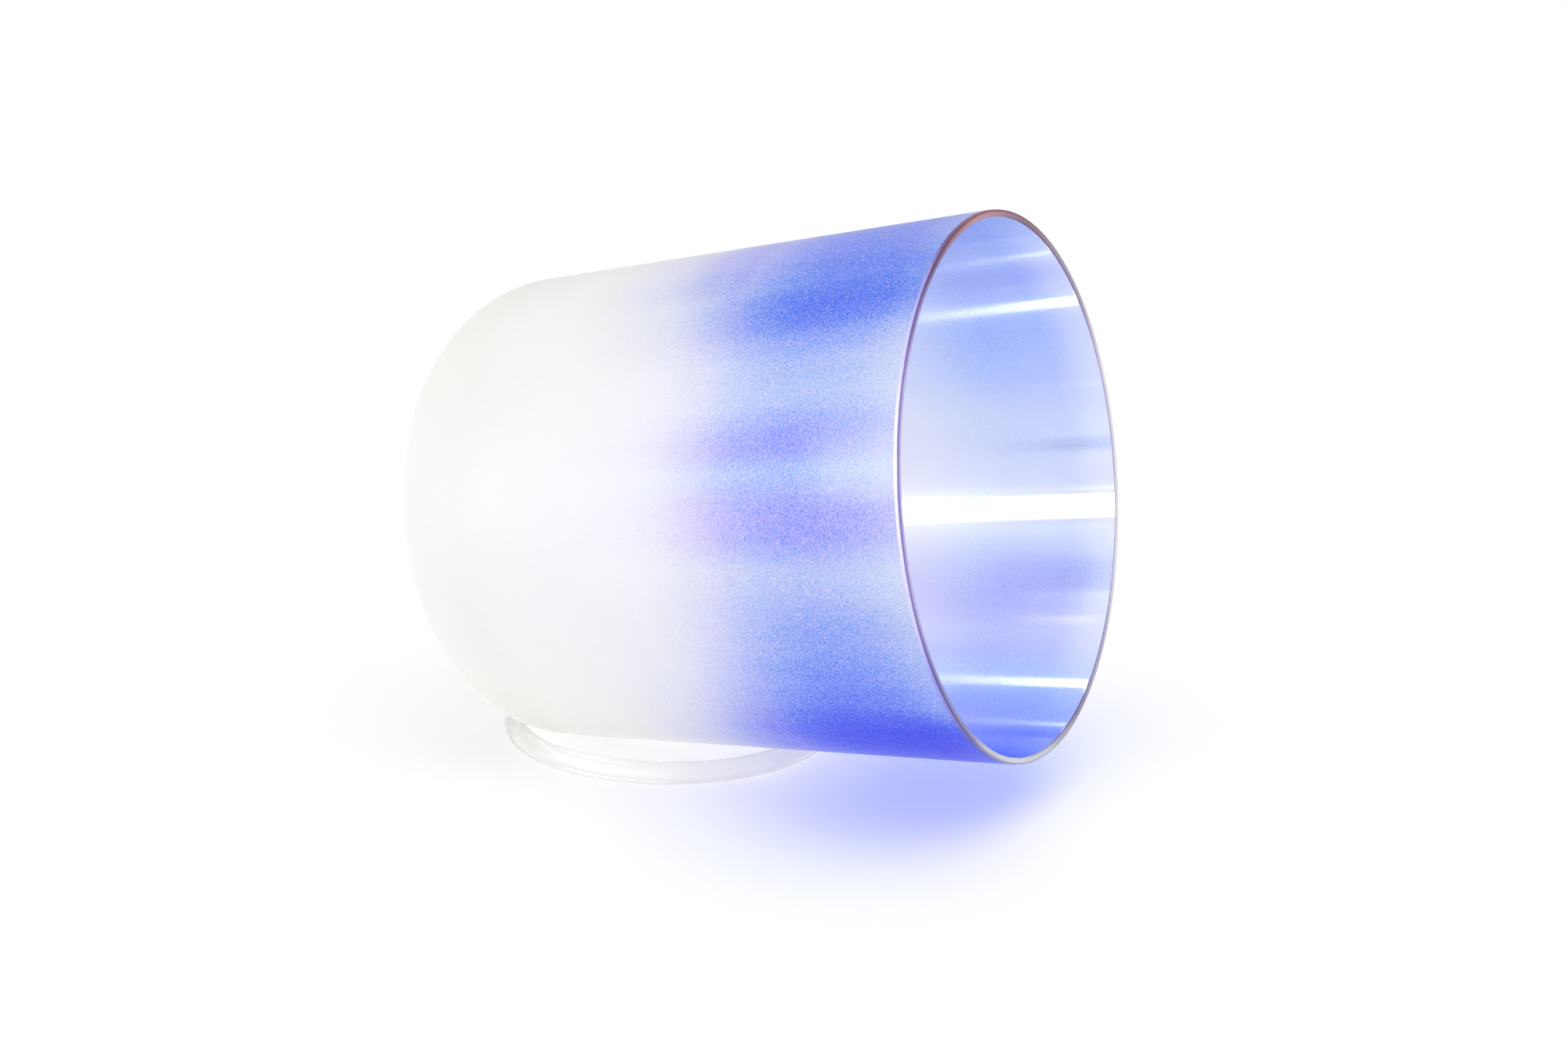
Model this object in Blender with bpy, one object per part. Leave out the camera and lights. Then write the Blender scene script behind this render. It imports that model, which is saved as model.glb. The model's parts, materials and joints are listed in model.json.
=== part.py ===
"""Crystal singing bowl lying on its side on a clear silicone support ring.

Two separate pieces:
  bowl          thin-walled fused-quartz bowl: a tall, slightly flared cup with a
                rounded, nearly flat closed end and a ground, bevelled lip
  support_ring  round-section silicone ring that the bowl's shoulder sits down into

Metres, +Z up. The floor is z = 0 and carries the ring's foot. The bowl's axis
lies in the plane y = 0, with the mouth towards +X and tipped a little upwards.
The origin is on the floor, under the middle of the overall bounding box.
"""

import math

import bmesh
import bpy

# ---- bowl --------------------------------------------------------------
RIM_RADIUS = 0.0890        # outer radius at the mouth: a 7-inch bowl
LENGTH = 0.2018            # lip to the outside of the closed end, along the axis
DRAFT = math.radians(4.1)  # the wall narrows towards the closed end
SHOULDER_RADIUS = 0.0395   # outer radius of the arc between wall and closed end
DOME_RADIUS = 0.4160       # outer radius of the slightly domed closed end
WALL_THICKNESS = 0.0024    # measured square to the wall
END_THICKNESS = 0.0030     # in the middle of the closed end
OUTER_BEVEL_RADIAL = 0.00030  # ground outer edge of the lip
OUTER_BEVEL_AXIAL = 0.0015
INNER_BEVEL_RADIAL = 0.00020  # eased inner edge of the lip
INNER_BEVEL_AXIAL = 0.0005
COAT_DEPTH = 0.42 * LENGTH    # how far the blue coat reaches from the lip
BOWL_STEPS = 96            # facets round the bowl
WALL_ROWS = 7              # rows of facets along the straight wall
SHOULDER_ROWS = 8          # rows of facets round the shoulder
END_ROWS = 4               # rows of facets across the closed end

# ---- support ring ------------------------------------------------------
RING_RADIUS = 0.0523       # radius of the ring's centre line
TUBE_RADIUS = 0.0038       # centre to corner of the ring's polygonal section
RING_STEPS = 96            # facets round the ring
TUBE_SIDES = 16            # sides of the section

# ---- how the bowl rests ------------------------------------------------
TILT = math.radians(9.85)  # the bowl's axis rises towards the mouth
RIM_CENTRE_HEIGHT = 0.1046  # mouth's centre above the floor
RING_BACK = 0.1259         # ring's centre behind the mouth's centre, along -X
RING_ASIDE = 0.0047        # ring's centre to the +Y side of the bowl's axis

# ---- shading -----------------------------------------------------------
BOWL_SHARP_ANGLE = math.radians(25)  # edges that turn more than this stay crisp
RING_SHARP_ANGLE = math.radians(40)


# ---- bowl outline ------------------------------------------------------
def cup_profile(rim_radius, length, shoulder_radius, dome_radius):
    """Half outline as (radius, distance from the lip), from the lip to the axis.

    A straight wall that narrows by the draft angle, a shoulder arc tangent to it,
    and a large arc across the closed end that is tangent to the shoulder.
    """
    slope = math.tan(DRAFT)
    dome_z = length - dome_radius

    # The shoulder's centre lies on the wall line moved in by shoulder_radius,
    # radius = line_start - z * slope, and at centre_gap from the dome's centre.
    # Together these give a quadratic in z, whose larger root is the one wanted.
    line_start = rim_radius - shoulder_radius / math.cos(DRAFT)
    centre_gap = dome_radius - shoulder_radius
    square_term = 1 + slope ** 2
    linear_term = -2 * (line_start * slope + dome_z)
    constant_term = line_start ** 2 + dome_z ** 2 - centre_gap ** 2
    discriminant = linear_term ** 2 - 4 * square_term * constant_term
    shoulder_z = (-linear_term + math.sqrt(discriminant)) / (2 * square_term)
    shoulder_r = line_start - shoulder_z * slope

    wall_end_z = shoulder_z + shoulder_radius * math.sin(DRAFT)
    dome_start = math.atan2(shoulder_z - dome_z, shoulder_r)

    points = []
    for i in range(WALL_ROWS):
        z = wall_end_z * i / WALL_ROWS
        points.append((rim_radius - z * slope, z))
    for i in range(SHOULDER_ROWS):
        angle = DRAFT + (dome_start - DRAFT) * i / SHOULDER_ROWS
        points.append((shoulder_r + shoulder_radius * math.cos(angle),
                       shoulder_z + shoulder_radius * math.sin(angle)))
    for i in range(END_ROWS):
        angle = dome_start + (math.pi / 2 - dome_start) * i / END_ROWS
        points.append((dome_radius * math.cos(angle),
                       dome_z + dome_radius * math.sin(angle)))
    points.append((0.0, length))
    return points


def bevel_lip(profile, radial, axial):
    """Replace the lip point by two: one moved by radial, one axial down the wall."""
    lip_radius = profile[0][0]
    profile[0:1] = [(lip_radius + radial, 0.0),
                    (lip_radius - axial * math.tan(DRAFT), axial)]


def outer_profile():
    """Outside of the bowl, from lip to axis."""
    profile = cup_profile(RIM_RADIUS, LENGTH, SHOULDER_RADIUS, DOME_RADIUS)
    bevel_lip(profile, -OUTER_BEVEL_RADIAL, OUTER_BEVEL_AXIAL)
    return profile


def inner_profile():
    """Inside of the bowl, from lip to axis."""
    profile = cup_profile(RIM_RADIUS - WALL_THICKNESS / math.cos(DRAFT),
                          LENGTH - END_THICKNESS,
                          SHOULDER_RADIUS - WALL_THICKNESS,
                          DOME_RADIUS - END_THICKNESS)
    bevel_lip(profile, INNER_BEVEL_RADIAL, INNER_BEVEL_AXIAL)
    return profile


def centred_mouth_x(profile):
    """World x of the mouth's centre that puts the resting bowl's middle at x = 0."""
    along, across = math.cos(TILT), math.sin(TILT)
    low = min(-z * along - radius * across for radius, z in profile)
    high = max(-z * along + radius * across for radius, z in profile)
    return -(low + high) / 2


# ---- shared builders ---------------------------------------------------
def spun_mesh(name, section, steps, closed):
    """A mesh turned once round its own +Z from points (radius, height)."""
    bm = bmesh.new()
    verts = [bm.verts.new((radius, 0.0, z)) for radius, z in section]
    edges = [bm.edges.new(pair) for pair in zip(verts, verts[1:])]
    if closed:
        edges.append(bm.edges.new((verts[-1], verts[0])))
    bmesh.ops.spin(bm, geom=verts + edges, cent=(0, 0, 0), axis=(0, 0, 1),
                   dvec=(0, 0, 0), angle=2 * math.pi, steps=steps, use_merge=True,
                   use_duplicate=False)
    # Points on the axis were copied at every step, so they are joined here.
    bmesh.ops.remove_doubles(bm, verts=bm.verts, dist=1e-6)
    bmesh.ops.recalc_face_normals(bm, faces=bm.faces)
    mesh = bpy.data.meshes.new(name)
    bm.to_mesh(mesh)
    bm.free()
    return mesh


def add_object(mesh, location, sharp_angle):
    """Smooth-shade the mesh and link an object of the same name to the scene."""
    mesh.shade_smooth()
    mesh.set_sharp_from_angle(angle=sharp_angle)
    obj = bpy.data.objects.new(mesh.name, mesh)
    obj.location = location
    bpy.context.scene.collection.objects.link(obj)
    return obj


def make_material(name, colour, roughness, ior, alpha=1.0):
    """A plain non-metallic Principled material."""
    material = bpy.data.materials.new(name)
    material.use_nodes = True
    inputs = material.node_tree.nodes["Principled BSDF"].inputs
    inputs["Base Color"].default_value = (*colour, 1.0)
    inputs["Roughness"].default_value = roughness
    inputs["IOR"].default_value = ior
    inputs["Alpha"].default_value = alpha
    material.diffuse_color = (*colour, alpha)
    return material


# ---- pieces ------------------------------------------------------------
def build_bowl(outer, mouth_x):
    """The bowl, turned with its lip at z = 0 and its mouth facing its own +Z."""
    section = [(radius, -z) for radius, z in outer[::-1] + inner_profile()]
    mesh = spun_mesh("bowl", section, BOWL_STEPS, closed=False)
    mesh.materials.append(make_material("quartz_frosted", colour=(0.80, 0.84, 0.97),
                                        roughness=0.55, ior=1.46))
    mesh.materials.append(make_material("quartz_blue_coat", colour=(0.16, 0.20, 0.80),
                                        roughness=0.40, ior=1.46))
    # The blue coat covers the mouth end of the bowl, inside and outside.
    for face in mesh.polygons:
        face.material_index = 1 if face.center.z > -COAT_DEPTH else 0
    bowl = add_object(mesh, (mouth_x, 0.0, RIM_CENTRE_HEIGHT), BOWL_SHARP_ANGLE)
    # Laid down with the mouth towards +X.
    bowl.rotation_euler = (0.0, math.pi / 2 - TILT, 0.0)


def build_support_ring(mouth_x):
    """The ring, its section turned so that one side lies flat on the floor."""
    half_side = math.pi / TUBE_SIDES
    section = []
    for i in range(TUBE_SIDES):
        angle = half_side * (1 + 2 * i)  # measured from straight down
        section.append((RING_RADIUS + TUBE_RADIUS * math.sin(angle),
                        -TUBE_RADIUS * math.cos(angle)))
    mesh = spun_mesh("support_ring", section, RING_STEPS, closed=True)
    mesh.materials.append(make_material("silicone_clear", colour=(0.86, 0.87, 0.89),
                                        roughness=0.12, ior=1.41, alpha=0.45))
    centre_height = TUBE_RADIUS * math.cos(half_side)
    add_object(mesh, (mouth_x - RING_BACK, RING_ASIDE, centre_height), RING_SHARP_ANGLE)


for old_object in list(bpy.data.objects):
    bpy.data.objects.remove(old_object, do_unlink=True)

bowl_outside = outer_profile()
mouth_centre_x = centred_mouth_x(bowl_outside)
build_bowl(bowl_outside, mouth_centre_x)
build_support_ring(mouth_centre_x)
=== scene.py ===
"""A crystal singing bowl: frosted quartz with a blue coat at the mouth, lying on its
side in a clear silicone ring, on a white studio floor.

The bowl's axis lies in the XZ plane, and the camera stands on the -Y side. Each mesh is
turned about its own Z: the bowl's Z points out of the mouth, with its X straight down."""

import json
import math

import bpy
from mathutils import Matrix, Vector


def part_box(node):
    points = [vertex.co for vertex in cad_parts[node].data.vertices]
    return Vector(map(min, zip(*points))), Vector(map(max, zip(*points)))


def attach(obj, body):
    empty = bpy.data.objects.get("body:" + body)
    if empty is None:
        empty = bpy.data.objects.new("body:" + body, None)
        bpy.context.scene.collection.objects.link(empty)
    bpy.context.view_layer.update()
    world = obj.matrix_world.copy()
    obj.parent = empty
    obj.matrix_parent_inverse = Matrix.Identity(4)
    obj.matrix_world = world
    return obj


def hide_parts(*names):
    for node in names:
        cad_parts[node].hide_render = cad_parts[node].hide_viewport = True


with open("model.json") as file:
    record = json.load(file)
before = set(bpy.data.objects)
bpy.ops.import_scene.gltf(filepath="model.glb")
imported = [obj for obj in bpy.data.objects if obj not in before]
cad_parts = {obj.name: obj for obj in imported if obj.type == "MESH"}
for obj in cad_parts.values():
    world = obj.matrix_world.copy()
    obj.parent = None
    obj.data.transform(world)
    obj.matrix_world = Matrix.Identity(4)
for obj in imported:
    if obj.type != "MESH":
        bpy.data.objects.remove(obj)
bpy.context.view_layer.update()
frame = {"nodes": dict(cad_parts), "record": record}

# ---- sizes (metres) ------------------------------------------------------
RIM_R = 0.0890
LENGTH = 0.2018
DRAFT = math.radians(4.1)   # the wall's taper towards the closed end
CORNER_R = 0.0395           # the shoulder
END_R = 0.4160              # the domed end
WALL = 0.0024
END_WALL = 0.0030
RING_R = 0.0523             # ring centre to the middle of its tube
TUBE_R = 0.0038
RIB = 0.00004               # height of the parting line on the tube
RIB_HALF = 0.07             # half the rib's width, as a part of the tube's radius
CAD_TUBE_SIDES = 16         # the CAD ring's section; its level side is the foot

# ---- mesh density --------------------------------------------------------
BOWL_STEPS = 240            # points round the bowl
RING_STEPS = 240            # points round the ring
TUBE_POINTS = 48
WALL_ROWS = 40
CORNER_ROWS = 22
END_ROWS = 14

# The bowl's material slots
OUTSIDE, INSIDE, FLAT, ROUNDING, BEVEL = range(5)


# ---- where the frame puts things -----------------------------------------
def placed(x_axis, y_axis, z_axis, origin):
    """The matrix with these axes and origin."""
    columns = (x_axis, y_axis, z_axis, origin)
    return Matrix((*([c[i] for c in columns] for i in range(3)), (0.0, 0.0, 0.0, 1.0)))


LIP_TOLERANCE = 2e-5        # CAD points this close to the furthest one are on the lip

mounts = {m["name"]: m for m in frame["record"]["mounts"]}
axis = Vector(mounts["rim_face"]["axis"]).normalized()      # out of the mouth
cad_bowl = frame["nodes"]["bowl"].data.vertices
furthest = max(v.co.dot(axis) for v in cad_bowl)
cad_lip = [v.co for v in cad_bowl if furthest - v.co.dot(axis) < LIP_TOLERANCE]
mouth = sum(cad_lip, Vector()) / len(cad_lip)               # the mouth's centre
mouth.y = 0.0
down = Vector((axis.z, 0.0, -axis.x)).normalized()
bowl_world = placed(down, axis.cross(down), axis, mouth)
ring_low, ring_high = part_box("support_ring")
ring_centre = Vector(((ring_low.x + ring_high.x) / 2, (ring_low.y + ring_high.y) / 2,
                      ring_low.z + TUBE_R * math.cos(math.pi / CAD_TUBE_SIDES)))


# ---- light ---------------------------------------------------------------
# Strengths are Blender's own units, spreads are degrees, lengths are metres.
WORLD_SEEN = 1.25           # the white the camera sees behind everything
WORLD_FILL = 0.44           # what the white room gives
OVERHEAD = 1.28
OVERHEAD_SPREAD = 70.0
OVERHEAD_LEAN = 11.0        # degrees from straight above, towards +X
FLOOR_LIFT = 0.23           # light from under the paper of the floor
FRONT = 2.7                 # from -X and -Y
FRONT_FROM = Vector((-0.75, -0.65, 0.0))
FRONT_SPREAD = 50.0
SIDE = 2.1                  # a wide, weak light from the camera's side
SIDE_FROM = Vector((0.05, -1.0, -0.02))
SIDE_SPREAD = 90.0
STRIP_GLOW = 7.5            # the strip's own brightness
STRIP_LONG = 2.0
STRIP_WIDE = 0.27
STRIP_RISE = math.radians(22.6)   # above the bowl's own level, on the -Y side
STRIP_AWAY = 1.5            # from the bowl's axis
STRIP_DEPTH = 0.09          # the depth in the bowl that the strip is set out from
STRIP_SHIFT = -0.2          # along the axis from there
STRIP_WINDOW = 6.0          # degrees either side in which the wall lets the strip through
STRIP_WINDOW_EDGE = 2.0     # degrees over which that fades
strip_direction = (math.cos(STRIP_RISE) * Vector((0.0, -1.0, 0.0))
                   + math.sin(STRIP_RISE) * Vector((-axis.z, 0.0, axis.x)))


# ---- meshes --------------------------------------------------------------
def wall_profile(rim_r, length, corner_r, end_r):
    """(radius, depth) from the lip to the axis: straight wall, shoulder, domed end."""
    cos_draft, sin_draft = math.cos(DRAFT), math.sin(DRAFT)
    slope = sin_draft / cos_draft
    end_centre = length - end_r
    # The shoulder's centre keeps corner_r inside the wall, on a line that starts at
    # line_r, and end_r - corner_r from the dome's centre: a quadratic in its depth.
    line_r = (rim_r * cos_draft - corner_r) / cos_draft
    square = 1 + slope * slope
    linear = -2 * line_r * slope - 2 * end_centre
    constant = line_r * line_r + end_centre * end_centre - (end_r - corner_r) ** 2
    corner_z = (-linear + math.sqrt(linear * linear - 4 * square * constant)) / (2 * square)
    centre_r = line_r - corner_z * slope
    corner_end = math.atan2(corner_z - end_centre, centre_r)
    wall_end = corner_z + corner_r * sin_draft
    points = [(rim_r - wall_end * i / WALL_ROWS * slope, wall_end * i / WALL_ROWS)
              for i in range(WALL_ROWS)]
    for i in range(CORNER_ROWS):
        t = DRAFT + (corner_end - DRAFT) * i / CORNER_ROWS
        points.append((centre_r + corner_r * math.cos(t), corner_z + corner_r * math.sin(t)))
    for i in range(END_ROWS):
        t = corner_end + (math.pi / 2 - corner_end) * i / END_ROWS
        points.append((end_r * math.cos(t), end_centre + end_r * math.sin(t)))
    return points + [(0.0, length)]


def turned(name, rows, steps, closed):
    """A mesh turned about local +Z from rows of (radius, height, material slot of the
    band that follows). A row at radius 0 becomes one point."""
    verts, index = [], []
    for radius, z, _ in rows:
        if radius < 1e-9:
            index.append([len(verts)] * steps)
            verts.append((0.0, 0.0, z))
        else:
            index.append(list(range(len(verts), len(verts) + steps)))
            verts += [(radius * math.cos(2 * math.pi * i / steps),
                       radius * math.sin(2 * math.pi * i / steps), z) for i in range(steps)]
    pairs = list(zip(index, index[1:]))
    if closed:
        pairs.append((index[-1], index[0]))
    faces, slots = [], []
    for (low, high), (_, _, slot) in zip(pairs, rows):
        for i in range(steps):
            j = (i + 1) % steps
            corners = (low[i], low[j], high[j], high[i])
            faces.append(list(dict.fromkeys(corners)))      # a triangle at the axis
            slots.append(slot)
    mesh = bpy.data.meshes.new(name)
    mesh.from_pydata(verts, [], faces)
    mesh.polygons.foreach_set("material_index", slots)
    mesh.update()
    # Where each point lies on its own piece, in millimetres, for the materials.
    local = mesh.attributes.new("lc", "FLOAT_VECTOR", "POINT")
    local.data.foreach_set("vector", [1000.0 * c for v in verts for c in v])
    return mesh


def bowl_mesh():
    outer = wall_profile(RIM_R, LENGTH, CORNER_R, END_R)
    inner = wall_profile(RIM_R - WALL / math.cos(DRAFT), LENGTH - END_WALL,
                         CORNER_R - WALL, END_R - END_WALL)
    slope = math.tan(DRAFT)
    inner_r = inner[0][0]
    outer_start = (RIM_R - 0.0022 * slope, 0.0022)
    inner_start = [(inner_r - z * slope, z) for z in (0.0009, 0.0016)]
    # The ground lip: radius, depth, slot of the band that follows.
    lip = [
        (RIM_R - 0.0015 * slope, 0.0015, BEVEL),            # a long shallow outer bevel
        (RIM_R - 0.00016, 0.00050, ROUNDING),
        (RIM_R - 0.00022, 0.00024, ROUNDING),
        (RIM_R - 0.00034, 0.00008, ROUNDING),
        (RIM_R - 0.00052, 0.0, FLAT),
        (inner_r + 0.00034, 0.0, FLAT),                     # the eased inner edge
        (inner_r + 0.00016, 0.00008, FLAT),
        (inner_r + 0.00004, 0.00026, FLAT),
        (inner_r - 0.00050 * slope, 0.00050, INSIDE)]
    rows = [(r, z, OUTSIDE) for r, z in reversed([outer_start] + outer[1:])]
    rows += lip
    rows += [(r, z, INSIDE) for r, z in inner_start + inner[1:]]
    return turned("bowl_shell", [(r, -z, slot) for r, z, slot in rows], BOWL_STEPS,
                  closed=False)


def ring_mesh():
    rows = []
    for i in range(TUBE_POINTS):
        t = 2 * math.pi * (i + 0.5) / TUBE_POINTS
        # The parting line: a hair-fine rib on the inner and outer equator.
        r = TUBE_R + RIB if abs(math.sin(t)) < RIB_HALF else TUBE_R
        foot = ring_low.z - ring_centre.z                   # a narrow level foot
        rows.append((RING_R + r * math.cos(t), max(r * math.sin(t), foot), 0))
    return turned("ring_silicone", rows, RING_STEPS, closed=True)


# ---- node helpers --------------------------------------------------------
class Net:
    """A short way of writing shader nodes."""

    def __init__(self, name):
        self.mat = bpy.data.materials.new(name)
        self.mat.use_nodes = True
        self.tree = self.mat.node_tree
        self.tree.nodes.clear()
        self.out = self.tree.nodes.new("ShaderNodeOutputMaterial")

    def put(self, socket, value):
        if value is None:
            return
        if isinstance(value, bpy.types.NodeSocket):
            self.tree.links.new(value, socket)
        elif isinstance(value, tuple) and len(value) == 3 and socket.type == "RGBA":
            socket.default_value = (*value, 1.0)
        else:
            socket.default_value = value

    def node(self, kind, inputs=None, **props):
        n = self.tree.nodes.new(kind)
        for key, value in props.items():
            setattr(n, key, value)
        for key, value in (inputs or {}).items():
            self.put(n.inputs[key], value)
        return n

    # Numbers
    def math(self, op, a, b=None, c=None, clamp=False):
        n = self.node("ShaderNodeMath", operation=op, use_clamp=clamp)
        for i, v in enumerate((a, b, c)):
            self.put(n.inputs[i], v)
        return n.outputs[0]

    def times(self, value, by, clamp=False):
        return self.math("MULTIPLY", value, by, clamp=clamp)

    def line(self, value, gain, base):
        """value * gain + base"""
        return self.math("MULTIPLY_ADD", value, gain, base)

    def between(self, start, end, amount):
        """start where amount is 0, end where it is 1."""
        return self.math("MULTIPLY_ADD", self.math("SUBTRACT", end, start), amount, start)

    def at_least(self, value, least):
        return self.math("MAXIMUM", value, least)

    def ramp(self, fac, stops, mode="EASE", start=0.0, span=1.0):
        """A curve through (place, value) or (place, colour) stops; fac runs 0..1 as
        the place runs from start to start + span."""
        n = self.node("ShaderNodeValToRGB", {0: fac})
        n.color_ramp.interpolation = mode
        elements = n.color_ramp.elements
        while len(elements) > 1:
            elements.remove(elements[-1])
        for i, (place, v) in enumerate(stops):
            position = (place - start) / span
            e = elements[0] if i == 0 else elements.new(position)
            e.position = position
            e.color = (*v, 1.0) if isinstance(v, tuple) else (v, v, v, 1.0)
        return n.outputs[0]

    def depth_ramp(self, depth, span, stops, mode="EASE"):
        """Stops at depths in mm from the lip, up to span."""
        return self.ramp(self.math("DIVIDE", depth, span), stops, mode, span=span)

    def turn_ramp(self, turn, stops, mode="EASE"):
        """Stops at degrees round the bowl: 0 is straight down, negative towards the
        camera, positive away from it."""
        return self.ramp(turn, stops, mode, start=-180.0, span=360.0)

    # Textures
    def noise(self, vector, scale, detail=2.0, rough=0.5):
        return self.node("ShaderNodeTexNoise", {
            "Vector": vector, "Scale": scale, "Detail": detail,
            "Roughness": rough}).outputs["Fac"]

    def scaled(self, vector, across, along):
        """The vector scaled across and along the piece's axis."""
        return self.node("ShaderNodeMapping", {
            "Vector": vector, "Scale": (across, across, along)}).outputs[0]

    def bump(self, height, strength, distance):
        return self.node("ShaderNodeBump", {
            "Strength": strength, "Distance": distance, "Height": height}).outputs[0]

    # Colours
    def tinted(self, a, b):
        return self.colour("MULTIPLY", 1.0, a, b)

    def colour(self, mode, fac, a, b):
        n = self.node("ShaderNodeMix", {0: fac}, data_type="RGBA", blend_type=mode)
        self.put(n.inputs[6], a)
        self.put(n.inputs[7], b)
        return n.outputs[2]

    def rgb(self, red, green, blue):
        return self.node("ShaderNodeCombineColor", {0: red, 1: green, 2: blue}).outputs[0]

    def grey(self, value):
        return self.rgb(value, value, value)

    # Shaders
    def shader(self, kind, **inputs):
        return self.node("ShaderNodeBsdf" + kind, inputs).outputs[0]

    def gloss(self, **inputs):
        return self.node("ShaderNodeBsdfAnisotropic", inputs, distribution="GGX").outputs[0]

    def mix(self, fac, a, b):
        return self.node("ShaderNodeMixShader", {0: fac, 1: a, 2: b}).outputs[0]

    def finish(self, surface):
        self.put(self.out.inputs["Surface"], surface)
        return self.mat

    def finish_with_shadow(self, body, shadow):
        """body as it is seen, shadow as shadow rays meet it."""
        return self.finish(self.mix(self.ray("Shadow"), body, shadow))

    # What is being shaded
    def ray(self, kind):
        return self.node("ShaderNodeLightPath").outputs[f"Is {kind} Ray"]

    def geometry(self, output):
        return self.node("ShaderNodeNewGeometry").outputs[output]

    def facing(self):
        return self.node("ShaderNodeLayerWeight", {"Blend": 0.5}).outputs["Facing"]

    def point(self):
        """The point on its own piece, in mm."""
        return self.node("ShaderNodeAttribute", attribute_name="lc").outputs["Vector"]

    def parts(self, vector):
        return self.node("ShaderNodeSeparateXYZ", {0: vector}).outputs

    def turn(self, xyz):
        """The turn round the axis, 0..1."""
        angle = self.math("ARCTAN2", xyz[1], xyz[0])
        return self.line(angle, gain=0.5 / math.pi, base=0.5)

    def place(self):
        """On the bowl: (vector in mm, depth from the lip in mm, turn 0..1)."""
        point = self.point()
        xyz = self.parts(point)
        return point, self.times(xyz[2], by=-1.0), self.turn(xyz)


# ---- the blue coat -------------------------------------------------------
COAT = (0.105, 0.200, 0.960)       # what the full coat lets through
COAT_SPAN = 150.0                  # mm of depth that the coat's curves cover

# Depth in mm, density: 1 is the full coat.
COAT_BY_DEPTH = [
    (0, 0.43), (6, 0.57), (14, 0.77), (27, 0.95), (40, 0.95), (50, 0.78), (58, 0.60),
    (65, 0.42), (75, 0.27), (86, 0.13), (97, 0.06), (114, 0.018), (130, 0.0)]
# Lengthwise bands, partly painted highlight and painted reflections. Degrees round, half the
# density: ramps hold values up to 1.
BANDS_NEAR = [
    (-180, 0.44), (-165, 0.43), (-154, 0.49), (-147, 0.58), (-140, 0.44), (-133, 0.28),
    (-128, 0.28), (-122, 0.34), (-117, 0.57), (-112.6, 0.76), (-108, 0.62), (-103, 0.70),
    (-98, 0.60), (-94, 0.54), (-89, 0.33), (-84, 0.30), (-78, 0.34), (-73, 0.36),
    (-67, 0.39), (-60, 0.46), (-52, 0.61), (-43, 0.91), (-30, 0.96), (0, 0.88)]
BANDS_FAR = [
    (0, 0.88), (9, 0.86), (18, 0.79), (25, 0.65), (31, 0.54), (37, 0.49), (42, 0.37),
    (48, 0.62), (53, 0.71), (58, 0.61), (63, 0.41), (67, 0.26), (76, 0.23), (82, 0.27),
    (90, 0.34), (95, 0.35), (100, 0.47), (105, 0.61), (112, 0.73), (120, 0.65),
    (133, 0.56), (150, 0.51), (165, 0.47), (180, 0.44)]
# Degrees round, weight of green: below 1 is more cyan, above 1 more lavender.
HUE_NEAR = [
    (-180, 1.0), (-165, 1.0), (-150, 0.87), (-135, 0.95), (-127, 0.88), (-121, 0.94),
    (-112.6, 1.12), (-108, 0.86), (-104, 1.08), (-98, 1.27), (-93, 1.14), (-88, 0.98),
    (-78, 0.96), (-60, 0.94), (-43, 0.97), (0, 0.95)]
HUE_FAR = [
    (0, 0.96), (18, 0.87), (25, 0.82), (31, 0.85), (38, 1.04), (43, 1.18), (58, 1.06),
    (67, 0.90), (76, 0.84), (86, 0.94), (95, 0.78), (115, 0.76), (130, 0.85),
    (150, 0.96), (180, 1.1)]
# Changes to the density: where round the bowl each applies (degrees, share) and what
# it does there (depth in mm, factor).
# Painted highlight: the coat fades sooner along the front.
FRONT_PAINTED_HIGHLIGHT_WHERE = [(-154, 0.0), (-140, 0.5), (-128, 1.0), (-68, 1.0), (-50, 0.0)]
FRONT_PAINTED_HIGHLIGHT = [(52, 1.0), (62, 0.98), (74, 0.78), (88, 0.63)]
# Painted shade: the coat runs further back, mostly on top.
TOP_PAINTED_SHADE_WHERE = [(-180, 1.0), (-160, 1.0), (-149, 0.0), (-45, 0.0), (-30, 0.3), (30, 0.3),
               (120, 0.3), (180, 1.0)]
TOP_PAINTED_SHADE = [(0, 0.50), (14, 0.45), (30, 0.395), (48, 0.395), (64, 0.435), (75, 0.62),
         (86, 0.84), (102, 0.95)]
TOP_PAINTED_SHADE_GAIN = 2.4                   # the factor is this times the curve
# Painted sheen along the front, near the lip.
PAINTED_SHEEN_WHERE = [(-120, 0.0), (-112, 1.0), (-104, 1.0), (-98, 0.0)]
PAINTED_SHEEN = [(0, 0.52), (20, 0.55), (40, 0.90), (60, 1.0)]
THICK_WHERE = [(-165, 0.0), (-155, 0.6), (-146, 0.6), (-138, 0.0), (-56, 0.0), (-42, 1.0),
               (0, 1.0), (25, 0.0)]
THICK = [(0, 0.84), (10, 0.72), (22, 0.56), (34, 0.5)]
THICK_GAIN = 2.0


def two_sides(net, turn, near, far):
    """Curves for the near and the far half, and a switch that is 1 on the far one."""
    return (net.turn_ramp(turn, near, "CARDINAL"), net.turn_ramp(turn, far, "CARDINAL"),
            net.math("GREATER_THAN", turn, 0.5))


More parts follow.
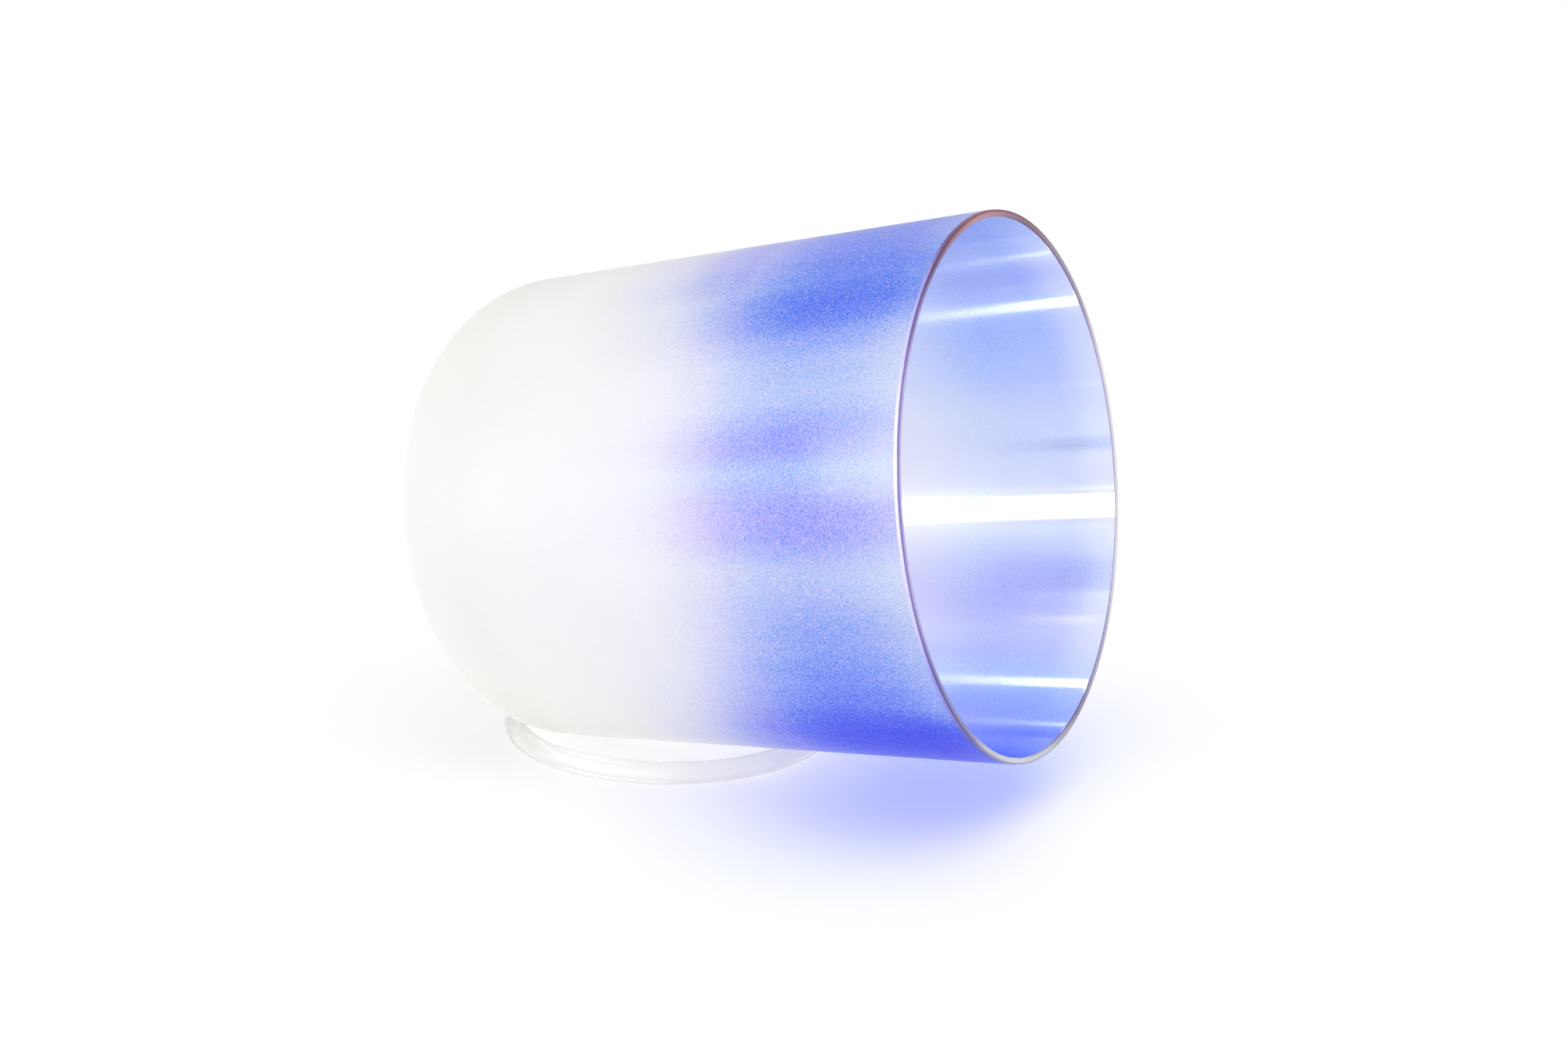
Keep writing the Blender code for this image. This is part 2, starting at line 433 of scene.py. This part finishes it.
def coat_density(net, point, depth, turn):
    """How much of the blue coat lies at a point: 1 near the mouth, fading out. Some of its
    changes are painted highlight and painted shade.
    """
    density = net.depth_ramp(depth, COAT_SPAN, COAT_BY_DEPTH, "B_SPLINE")
    # Lengthwise bands: partly uneven passes of the spray gun, partly painted light. The
    # thinner band at about -108 degrees is a painted highlight (the strip lamp's sheen), and
    # some bands stand in for reflections.
    near, far, away = two_sides(net, turn, BANDS_NEAR, BANDS_FAR)
    bands = net.math("ADD", net.times(near, by=net.math("SUBTRACT", 1.0, away)),
                     net.times(far, by=away))
    bands = net.at_least(net.times(bands, by=2.0), least=0.1)
    streak = net.noise(net.scaled(point, across=0.06, along=0.010), scale=1.0,
                       detail=3.0, rough=0.55)
    streak = net.line(streak, gain=0.36, base=0.82)
    fine = net.noise(net.scaled(point, across=0.33, along=0.012), scale=1.0, rough=0.6)
    fine = net.line(fine, gain=0.22, base=0.89)

    deep = net.math("DIVIDE", depth, COAT_SPAN)

    def change(stops, where, gain=None):
        factor = net.ramp(deep, stops, span=COAT_SPAN)
        if gain:
            factor = net.times(factor, by=gain)
        return net.between(1.0, factor, net.turn_ramp(turn, where))

    density = net.times(density, by=bands)
    # The coat's fade is moved forward in front and further back, mostly on top: a painted
    # highlight along the front and painted shade on top.
    density = net.times(density, by=change(FRONT_PAINTED_HIGHLIGHT, FRONT_PAINTED_HIGHLIGHT_WHERE))
    density = net.times(density, by=change(TOP_PAINTED_SHADE, TOP_PAINTED_SHADE_WHERE, TOP_PAINTED_SHADE_GAIN))
    # Painted sheen: in front, the coat thins towards the lip along the strip lamp's
    # reflection.
    density = net.times(density, by=change(PAINTED_SHEEN, PAINTED_SHEEN_WHERE))
    # Low down and near the top the coat stays thick right up to the lip.
    density = net.times(density, by=change(THICK, THICK_WHERE, THICK_GAIN))
    density = net.times(density, by=streak)
    return net.times(density, by=fine)


def seen_through(net, near, far, least):
    """How much coat a line of sight crosses: least where it meets the wall square on,
    1 where it meets it aslant. near and far are the facing values of the two."""
    return net.node("ShaderNodeMapRange", {
        "Value": net.facing(), "From Min": near, "From Max": far, "To Min": least,
        "To Max": 1.0}, interpolation_type="SMOOTHSTEP").outputs[0]


def coat_colour(net, density, strength=1.0):
    """What the coat lets through. The hue wanders between cyan and lavender from pass
    to pass, and a thin coat is more lavender than a thick one."""
    point, depth, turn = net.place()
    # Ramps hold values up to 1, so the hue is halved in them and doubled after.
    halves = [[(deg, hue / 2) for deg, hue in table] for table in (HUE_NEAR, HUE_FAR)]
    near, far, away = two_sides(net, turn, *halves)
    near = net.times(near, by=net.math("SUBTRACT", 2.0, net.times(away, by=2.0)))
    far = net.times(far, by=net.times(away, by=2.0))
    hue = net.math("ADD", near, far)
    thin = net.depth_ramp(depth, 120.0, [(50.4, 1.0), (72, 0.62)])
    green = net.math("DIVIDE", hue, net.line(thin, gain=0.5, base=0.5))
    amount = net.times(density, by=strength)
    # The frosting under the coat shows as a fine grain, more violet where it is thick.
    speck = net.noise(point, scale=1.8, detail=3.0, rough=0.75)
    speck = net.line(speck, gain=5.0, base=-2.5)
    more = net.at_least(net.math("ADD", speck, 1.0), least=0.15)
    less = net.at_least(net.line(speck, gain=0.6, base=1.0), least=0.3)
    red_power = 1.04               # red is lost a little faster as the coat thickens
    amounts = (net.times(net.math("POWER", amount, red_power), by=more),
               net.times(net.times(amount, by=green), by=less),
               net.times(amount, by=more))
    return net.rgb(*(net.math("POWER", full, a) for full, a in zip(COAT, amounts)))


def toward_strip(net):
    """1 for a mirrored ray that leaves the wall straight at the front strip lamp."""
    incoming = net.geometry("Incoming")

    def dot(direction):
        return net.node("ShaderNodeVectorMath", {0: incoming, 1: tuple(-direction)},
                        operation="DOT_PRODUCT").outputs["Value"]

    along = dot(axis)
    level = net.math("SQRT", net.math("SUBTRACT", 1.0, net.times(along, by=along)))
    ratio = net.math("DIVIDE", dot(strip_direction), level)
    window = net.node("ShaderNodeMapRange", {
        "Value": ratio,
        "From Min": math.cos(math.radians(STRIP_WINDOW + STRIP_WINDOW_EDGE)),
        "From Max": math.cos(math.radians(STRIP_WINDOW))}).outputs[0]
    return net.times(window, by=net.ray("Glossy"))


# ---- quartz, outside -----------------------------------------------------
QUARTZ_IOR = 1.46
# Blue against red, by degrees round: lower is creamier. Painted shade: whiter along the front,
# creamier on top and underneath.
PAINTED_CREAM_BARE = [
    (-180, 0.925), (-150, 0.935), (-125, 0.962), (-100, 0.985), (-80, 0.980),
    (-62, 0.955), (-45, 0.885), (0, 0.87), (60, 0.90), (180, 0.925)]
PAINTED_CREAM_COATED = [
    (-180, 0.945), (-150, 0.94), (-132, 0.985), (-60, 0.995), (-45, 0.93), (0, 0.93),
    (180, 0.945)]
# Painted shade on the shoulder: a little darker and creamier there than on the wall and the
# domed end.
PAINTED_SHOULDER_SHADE = [(145, 0.0), (170, 1.0), (183, 1.0), (192, 0.0)]     # depth in mm, share
GREEN_SHARE = 0.990                # green against red
GRAIN_OFFSET = 0.028               # taken off to make up for what the grain adds


def frosting(net, depth, turn, coated, cloud, grain):
    """The sandblasted quartz: a fine even tooth over a soft cloudiness. Painted shade: whiter
    along the front, creamier towards the top and the underside, and a little darker and
    creamier on the shoulder."""
    shade = net.line(cloud, gain=0.05, base=0.725)
    shade = net.line(grain, gain=0.09, base=net.math("SUBTRACT", shade, GRAIN_OFFSET))
    bare = net.turn_ramp(turn, PAINTED_CREAM_BARE)
    under_coat = net.turn_ramp(turn, PAINTED_CREAM_COATED)
    shoulder = net.depth_ramp(depth, 210.0, PAINTED_SHOULDER_SHADE)
    # Painted shade on the shoulder.
    shade = net.times(shade, by=net.line(shoulder, gain=-0.025, base=1.0))
    bare = net.times(bare, by=net.line(shoulder, gain=-0.035, base=1.0))
    painted_cream = net.between(bare, under_coat, coated)
    return net.rgb(shade, net.times(shade, by=GREEN_SHARE), net.times(shade, by=painted_cream))


def quartz_outside():
    net = Net("quartz_outside")
    point, depth, turn = net.place()
    coat = coat_density(net, point, depth, turn)
    crossed = seen_through(net, near=0.08, far=0.38, least=0.42)
    tint = coat_colour(net, net.times(coat, by=crossed))
    coated = net.times(coat, by=1.8, clamp=True)
    cloud = net.noise(point, scale=0.035, detail=3.0)
    grain = net.noise(point, scale=1.6, detail=3.0, rough=0.65)
    base = net.tinted(frosting(net, depth, turn, coated, cloud, grain), tint)
    tooth = net.noise(point, scale=2.2, rough=0.7)
    bump = net.bump(tooth, strength=0.35, distance=0.00006)
    diffuse = net.shader("Diffuse", Color=base, Roughness=0.6, Normal=bump)
    through = net.shader("Translucent", Color=net.tinted(tint, (0.92, 0.92, 0.92)),
                         Normal=bump)
    translucency = 0.30
    body = net.mix(translucency, diffuse, through)
    rough = net.line(coat, gain=-0.08, base=0.60)
    rough = net.line(grain, gain=0.06, base=rough)
    gloss = net.gloss(Color=(1.0, 1.0, 1.0), Roughness=rough, Normal=bump)
    edge = net.node("ShaderNodeFresnel", {"IOR": QUARTZ_IOR, "Normal": bump}).outputs[0]
    sheen = net.math("MULTIPLY_ADD", edge, 0.50, 0.05, clamp=True)   # never below 0.05
    body = net.mix(sheen, body, gloss)
    # A ray that meets this face from within the wall goes out, tinted by the coat; so
    # does a shadow ray, which is what colours the light under the bowl.
    strip_tint = (0.95, 0.97, 1.0)
    leave = net.shader("Transparent", Color=net.colour(
        "MIX", toward_strip(net), tint, strip_tint))
    whitening = 0.27               # the share of white in the shadow's colour
    thinner = net.colour("MIX", whitening, tint, (1.0, 1.0, 1.0))
    passed = net.grey(net.line(coated, gain=0.26, base=0.50))
    shadow = net.shader("Transparent", Color=net.tinted(thinner, passed))
    body = net.mix(net.geometry("Backfacing"), body, leave)
    return net.finish_with_shadow(body, shadow)


# ---- quartz, inside ------------------------------------------------------
INNER_GLOSS = 0.36
RIM_SPAN = 60.0                    # mm of depth that the curves near the lip cover
GLOSS_SPAN = 120.0                 # the same, for the gloss
GLOSS_TINT = (0.96, 0.97, 1.0)
# Degrees round, share.
FAR_SIDE = [(5, 0.0), (45, 1.0), (135, 1.0), (165, 0.0)]
# Painted reflections: two thin bright lines near the lip.
PAINTED_REFLECTION_LINES = [(43.2, 0.0), (44.4, 1.0), (45.4, 1.0), (46.6, 0.0), (49.2, 0.0), (50.1, 0.5),
             (51.0, 0.0)]
# Painted dark reflections: two lengthwise streaks near the lip.
PAINTED_DARK_REFLECTIONS = [(50, 0.0), (54, 0.62), (58, 0.62), (62, 0.0), (83.8, 0.0), (86.3, 1.0), (88.4, 0.0)]
# Depth in mm, value.
NEAR_RIM = [(0, 0.03), (6, 0.19), (12, 0.40), (18, 0.66), (42, 1.0), (60, 0.88)]
PAINTED_REFLECTION_LINE_FADE = [(0, 0.9), (12, 1.0), (24, 0.5), (37.2, 0.0)]
PAINTED_DARK_REFLECTION_FADE = [(0, 0.8), (15, 1.0), (33, 0.4), (48, 0.0)]
# Painted light: the inside is lighter over the last few millimetres to the lip.
PAINTED_RIM_LIGHT = [(0, 0.15), (15, 0.0)]
RIM_OPAQUE = [(0, 0.30), (16.8, 0.0)]      # taken off the translucency
SHARP_ROUGH = [(0, 0.045), (30, 0.075), (120, 0.22)]
SOFT_ROUGH = [(0, 0.17), (72, 0.26)]
SOFT_SHARE = [(0, 0.14), (72, 0.45)]
SHINE = [(0, INNER_GLOSS + 0.09), (14.4, INNER_GLOSS + 0.04), (36, INNER_GLOSS), (120, 0.17)]


def inner_body(net, point, depth, turn, bump):
    """The matt part of the inside, under the gloss."""
    coat = coat_density(net, point, depth, turn)
    near_rim = net.depth_ramp(depth, RIM_SPAN, NEAR_RIM)
    far_side = net.turn_ramp(turn, FAR_SIDE)
    coat = net.times(coat, by=net.between(1.0, near_rim, far_side))
    # Two thin painted reflections close to the lip: bright lines of nearly bare quartz.
    bare = net.times(net.turn_ramp(turn, PAINTED_REFLECTION_LINES),
                     by=net.depth_ramp(depth, RIM_SPAN, PAINTED_REFLECTION_LINE_FADE))
    coat = net.times(coat, by=net.line(bare, gain=-0.8, base=1.0))
    # Two lengthwise painted dark reflections close to the lip, drawn as thicker, greyer coat.
    runs = net.times(net.turn_ramp(turn, PAINTED_DARK_REFLECTIONS),
                     by=net.depth_ramp(depth, RIM_SPAN, PAINTED_DARK_REFLECTION_FADE))
    seen = net.times(coat, by=seen_through(net, near=0.08, far=0.50, least=0.40))
    tint = coat_colour(net, net.line(runs, gain=0.45, base=seen), strength=0.62)
    cloud = net.noise(point, scale=0.04, detail=3.0)
    shade = net.line(cloud, gain=0.06, base=0.895)
    # Painted dark reflections: the runs are greyer than the rest. Painted light: the last few
    # millimetres to the lip are lighter.
    shade = net.math("SUBTRACT", shade, net.times(runs, by=0.17))
    # Painted light near the lip and along the painted reflection lines.
    light = net.times(net.depth_ramp(depth, RIM_SPAN, PAINTED_RIM_LIGHT), by=far_side)
    light = net.line(bare, gain=0.09, base=light)
    whitest = 0.98
    shade = net.math("MINIMUM", net.math("ADD", shade, light), whitest)
    blue = net.times(shade, by=net.line(runs, gain=-0.14, base=0.99))
    base = net.tinted(net.rgb(shade, shade, blue), tint)
    diffuse = net.shader("Diffuse", Color=base, Normal=bump)
    through = net.shader("Translucent", Color=(0.96, 0.96, 0.96), Normal=bump)
    opaque = net.times(net.depth_ramp(depth, RIM_SPAN, RIM_OPAQUE), by=far_side)
    translucency = 0.45            # away from the lip and the scratches
    share = net.math("SUBTRACT", translucency, opaque)
    share = net.at_least(net.line(bare, gain=-0.3, base=share), least=0.05)
    return net.mix(share, diffuse, through)


def quartz_inside():
    net = Net("quartz_inside")
    point, depth, turn = net.place()
    peel = net.noise(net.scaled(point, across=0.5, along=0.06), scale=1.0)
    bump = net.bump(peel, strength=0.10, distance=0.00003)
    body = inner_body(net, point, depth, turn, bump)
    # Polished by the coat at the mouth, duller further in.
    dull = net.depth_ramp(depth, GLOSS_SPAN, SHARP_ROUGH)
    rough = net.line(net.noise(point, scale=0.5), gain=0.01, base=dull)
    # What is mirrored a second time is a little sharper than what is looked at directly.
    looked_at = net.ray("Camera")
    rough = net.times(rough, by=net.line(looked_at, gain=0.2, base=0.8))
    tangent = net.node("ShaderNodeCombineXYZ", {0: axis.x, 1: axis.y, 2: axis.z}).outputs[0]
    sharp = net.gloss(Color=GLOSS_TINT, Roughness=rough, Anisotropy=-0.7, Normal=bump,
                      Tangent=tangent)
    # A second, wider lobe gives the bright lines their soft edges.
    soft = net.gloss(Color=GLOSS_TINT, Roughness=net.depth_ramp(depth, GLOSS_SPAN, SOFT_ROUGH),
                     Anisotropy=-0.3, Normal=bump, Tangent=tangent)
    soft_share = net.times(net.depth_ramp(depth, GLOSS_SPAN, SOFT_SHARE),
                           by=net.line(looked_at, gain=0.5, base=0.5))
    shine = net.times(net.depth_ramp(depth, GLOSS_SPAN, SHINE),
                      by=net.line(looked_at, gain=-0.12, base=1.12))
    body = net.mix(shine, body, net.mix(soft_share, sharp, soft))
    # Clear from within the wall, and to the strip lamp's mirrored rays.
    clear = net.shader("Transparent", Color=(1.0, 1.0, 1.0))
    passing = net.at_least(net.geometry("Backfacing"), least=toward_strip(net))
    return net.finish_with_shadow(net.mix(passing, body, clear), clear)


# ---- quartz, lip ---------------------------------------------------------
# Degrees round, colour.
# Painted highlight on the bevel in front, painted shade on its top and underside.
BEVEL_PAINTED_LIGHT = [
    (-180, (0.30, 0.14, 0.20)), (-164, (0.16, 0.08, 0.20)), (-148, (0.33, 0.29, 0.66)),
    (-132, (0.50, 0.49, 0.86)), (-114, (0.74, 0.74, 0.95)), (-96, (0.66, 0.66, 0.93)),
    (-78, (0.52, 0.50, 0.86)), (-60, (0.26, 0.26, 0.70)), (-38, (0.08, 0.08, 0.36)),
    (0, (0.10, 0.10, 0.38)), (40, (0.30, 0.28, 0.6)), (90, (0.55, 0.50, 0.78)),
    (140, (0.30, 0.2, 0.34)), (180, (0.30, 0.14, 0.20))]
# The coat's colour seen through the clear edge, with painted reflections.
LIP_COLOURS_AND_PAINTED_LIGHT = [
    (-180, (0.52, 0.22, 0.26)), (-168, (0.34, 0.14, 0.20)), (-154, (0.16, 0.09, 0.28)),
    (-140, (0.26, 0.20, 0.52)), (-122, (0.50, 0.43, 0.81)), (-84, (0.46, 0.40, 0.78)),
    (-60, (0.22, 0.19, 0.50)), (-44, (0.24, 0.22, 0.48)), (-32, (0.56, 0.57, 0.66)),
    (-20, (0.66, 0.68, 0.75)), (-4, (0.60, 0.61, 0.68)), (8, (0.40, 0.38, 0.48)),
    (18, (0.26, 0.22, 0.38)), (36, (0.46, 0.42, 0.64)), (64, (0.86, 0.83, 0.95)),
    (100, (0.78, 0.73, 0.88)), (128, (0.38, 0.30, 0.42)), (155, (0.22, 0.10, 0.17)),
    (180, (0.52, 0.22, 0.26))]
# Painted shade on the lip's outer rounded edge.
ROUNDING_SHADE = (0.50, 0.46, 0.62)
FLAT_FROM, FLAT_WIDE = 86.4, 2.4   # the radii that FLAT_SHADE runs over, mm
FLAT_SHADE = [(0.04, 0.45), (0.28, 1.0), (0.70, 1.0), (0.88, 0.50)]   # outwards, shade


def flat_shade(net, point):
    """Both edges of the flat are darker than its middle."""
    x, y, _ = net.parts(point)
    radius = net.math("SQRT", net.math("ADD", net.times(x, by=x), net.times(y, by=y)))
    across = net.line(radius, gain=1 / FLAT_WIDE, base=-FLAT_FROM / FLAT_WIDE)
    return net.ramp(across, FLAT_SHADE)


def quartz_lip(name, slot):
    """The ground and polished lip: the clear wall seen end on, coloured with painted light:
    the coat's colour seen through it with painted reflections, a painted highlight on the
    bevel in front and painted shade on the bevel's top and underside. slot is FLAT, ROUNDING
    or BEVEL."""
    net = Net(name)
    point = net.point()
    turn = net.turn(net.parts(point))
    tone = net.turn_ramp(turn, BEVEL_PAINTED_LIGHT if slot == BEVEL else LIP_COLOURS_AND_PAINTED_LIGHT)
    if slot == ROUNDING:
        tone = net.tinted(tone, ROUNDING_SHADE)
    if slot == FLAT:
        tone = net.tinted(tone, flat_shade(net, point))
    wear = net.noise(point, scale=0.8, detail=3.0, rough=0.6)
    tone = net.tinted(tone, net.grey(net.line(wear, gain=0.30, base=0.85)))
    grind = net.noise(point, scale=3.0, rough=0.6)
    body = net.node("ShaderNodeBsdfPrincipled", {
        "Base Color": tone, "Roughness": net.line(grind, gain=0.14, base=0.14),
        "IOR": QUARTZ_IOR,
        "Normal": net.bump(grind, strength=0.25, distance=0.00003)}).outputs[0]
    return net.finish_with_shadow(body, net.shader("Transparent", Color=(0.55, 0.58, 0.9)))


# ---- silicone ------------------------------------------------------------
SILICONE_IOR = 1.41
# Haze, colour of the clear part.
GLASS_TINTS = [(0.3, (0.93, 0.925, 0.93)), (0.7, (0.97, 0.965, 0.96))]
# Facing (1 is edge on), colour of the milky part: darker and warmer where seen along its edge,
# painted shade along the tube's edges.
MILK_AND_EDGE_SHADE = [(0.0, (0.85, 0.84, 0.83)), (0.62, (0.82, 0.80, 0.78)),
              (0.86, (0.60, 0.54, 0.47)), (1.0, (0.38, 0.31, 0.26))]
MILK_GLOW = 0.5                    # translucent share of the milky part
GLASS_SHARE = 0.30                 # glass against milk
CLEAR_SHARE = 0.40                 # what passes straight through


def silicone():
    net = Net("silicone_clear")
    point = net.point()
    haze = net.noise(point, scale=0.15, detail=3.0)
    rough = net.line(haze, gain=0.10, base=0.06)
    dust = net.noise(point, scale=2.5, detail=3.0, rough=0.7)
    bump = net.bump(dust, strength=0.15, distance=0.00004)
    glass = net.shader("Glass", Color=net.ramp(haze, GLASS_TINTS), Roughness=rough,
                       IOR=SILICONE_IOR, Normal=bump)
    milk_and_edge_shade = net.ramp(net.facing(), MILK_AND_EDGE_SHADE)
    milk = net.mix(MILK_GLOW, net.shader("Diffuse", Color=milk_and_edge_shade),
                   net.shader("Translucent", Color=milk_and_edge_shade))
    gloss = net.shader("Anisotropic", Color=(1.0, 1.0, 1.0), Roughness=rough, Normal=bump)
    fresnel = net.node("ShaderNodeFresnel", {"IOR": SILICONE_IOR}).outputs[0]
    body = net.mix(GLASS_SHARE, net.mix(fresnel, milk, gloss), glass)
    clear = net.shader("Transparent", Color=(0.99, 0.985, 0.98))
    body = net.mix(CLEAR_SHARE, body, clear)
    return net.finish_with_shadow(body, net.shader("Transparent", Color=(0.95, 0.95, 0.95)))


# ---- the two pieces ------------------------------------------------------
def add_object(name, data):
    obj = bpy.data.objects.new(name, data)
    bpy.context.scene.collection.objects.link(obj)
    return obj


def add_piece(name, mesh, world, materials, sharp):
    """sharp is the angle in degrees from which an edge is kept sharp."""
    for mat in materials:
        mesh.materials.append(mat)
    mesh.shade_smooth()
    mesh.set_sharp_from_angle(angle=math.radians(sharp))
    mesh.transform(world)               # the object stays at the frame's origin
    return add_object(name, mesh)


bowl_materials = [quartz_outside(), quartz_inside(), quartz_lip("quartz_lip", FLAT),
                  quartz_lip("quartz_lip_rounding", ROUNDING),
                  quartz_lip("quartz_lip_bevel", BEVEL)]
bowl = add_piece("bowl_shell", bowl_mesh(), bowl_world, bowl_materials, sharp=38)
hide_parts("bowl")
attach(bowl, "bowl")

ring = add_piece("ring_silicone", ring_mesh(), Matrix.Translation(ring_centre),
                 [silicone()], sharp=50)
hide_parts("support_ring")
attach(ring, "ring")


# ---- floor, light and camera ---------------------------------------------
def floor():
    net = Net("studio_floor")
    mist = net.noise(net.geometry("Position"), scale=2.0)
    paper = net.shader("Diffuse", Color=net.grey(net.line(mist, gain=0.01, base=0.915)))
    lift = net.node("ShaderNodeEmission", {"Strength": FLOOR_LIFT}).outputs[0]
    mat = net.finish(net.node("ShaderNodeAddShader", {0: paper, 1: lift}).outputs[0])
    half = 12.0
    mesh = bpy.data.meshes.new("floor_plane")
    mesh.from_pydata([(-half, -half, 0), (half, -half, 0), (half, half, 0), (-half, half, 0)],
                     [], [(0, 1, 2, 3)])
    mesh.materials.append(mat)
    add_object("floor_plane", mesh)


def white_room():
    """One white for the camera to see, a weaker one to light the scene."""
    world = bpy.data.worlds.new("studio")
    bpy.context.scene.world = world
    world.use_nodes = True
    tree = world.node_tree
    tree.nodes.clear()
    out = tree.nodes.new("ShaderNodeOutputWorld")
    path = tree.nodes.new("ShaderNodeLightPath")
    mix = tree.nodes.new("ShaderNodeMixShader")
    tree.links.new(path.outputs["Is Camera Ray"], mix.inputs[0])
    for socket, strength in ((1, WORLD_FILL), (2, WORLD_SEEN)):
        background = tree.nodes.new("ShaderNodeBackground")
        background.inputs["Color"].default_value = (1.0, 1.0, 1.0, 1.0)
        background.inputs["Strength"].default_value = strength
        tree.links.new(background.outputs[0], mix.inputs[socket])
    tree.links.new(mix.outputs[0], out.inputs[0])


def sun(name, energy, spread, rotation):
    lamp = bpy.data.lights.new(name, "SUN")
    lamp.energy = energy
    lamp.angle = math.radians(spread)
    obj = add_object(name, lamp)
    obj.rotation_euler = rotation
    return obj


def lights():
    sun("overhead_soft", OVERHEAD, OVERHEAD_SPREAD, (0.0, math.radians(OVERHEAD_LEAN), 0.0))

    # These two light the object only, so that they throw no shadow across the floor.
    lit = bpy.data.collections.new("lit_pieces")
    for piece in (bowl, ring):
        lit.objects.link(piece)
    for name, energy, spread, source, glossy in (
            ("front_soft", FRONT, FRONT_SPREAD, FRONT_FROM, True),
            ("side_soft", SIDE, SIDE_SPREAD, SIDE_FROM, False)):
        obj = sun(name, energy, spread, source.to_track_quat("Z", "Y").to_euler())
        obj.visible_glossy = glossy
        obj.light_linking.receiver_collection = lit

    # A long strip in front of the bowl, parallel to its axis.
    strip = bpy.data.lights.new("front_strip", "AREA")
    strip.shape = "RECTANGLE"
    strip.size = STRIP_LONG
    strip.size_y = STRIP_WIDE
    strip.energy = STRIP_GLOW * math.pi * STRIP_LONG * STRIP_WIDE
    obj = add_object("front_strip", strip)
    obj.visible_diffuse = False
    place = (mouth - STRIP_DEPTH * axis + STRIP_AWAY * strip_direction
             + STRIP_SHIFT * axis)
    # The lamp shines along its own -Z.
    obj.matrix_world = placed(axis, strip_direction.cross(axis), strip_direction, place)


def add_camera():
    camera = bpy.data.cameras.new("camera")
    camera.sensor_fit = "HORIZONTAL"
    camera.sensor_width = 36.0
    camera.lens = 90.0
    camera.clip_start = 0.05
    camera.clip_end = 60.0
    obj = add_object("camera", camera)
    right = Vector((0.9049518549, 0.4253183897, 0.0128999083))
    up = Vector((-0.1302450168, 0.2480072330, 0.9599628368))
    back = Vector((0.4050905773, -0.8704002986, 0.2798302063))
    eye = Vector((0.5374081260, -1.1270961980, 0.4439803567))
    obj.matrix_world = placed(right, up, back, eye)
    bpy.context.scene.camera = obj


def render_settings():
    scene = bpy.context.scene
    scene.view_settings.view_transform = "Standard"
    scene.view_settings.look = "None"
    scene.cycles.max_bounces = 16
    scene.cycles.diffuse_bounces = 5
    scene.cycles.glossy_bounces = 6
    scene.cycles.transmission_bounces = 12
    scene.cycles.transparent_max_bounces = 24
    scene.cycles.sample_clamp_indirect = 0.0
    scene.cycles.blur_glossy = 0.0


floor()
white_room()
lights()
add_camera()
render_settings()

bpy.context.view_layer.update()
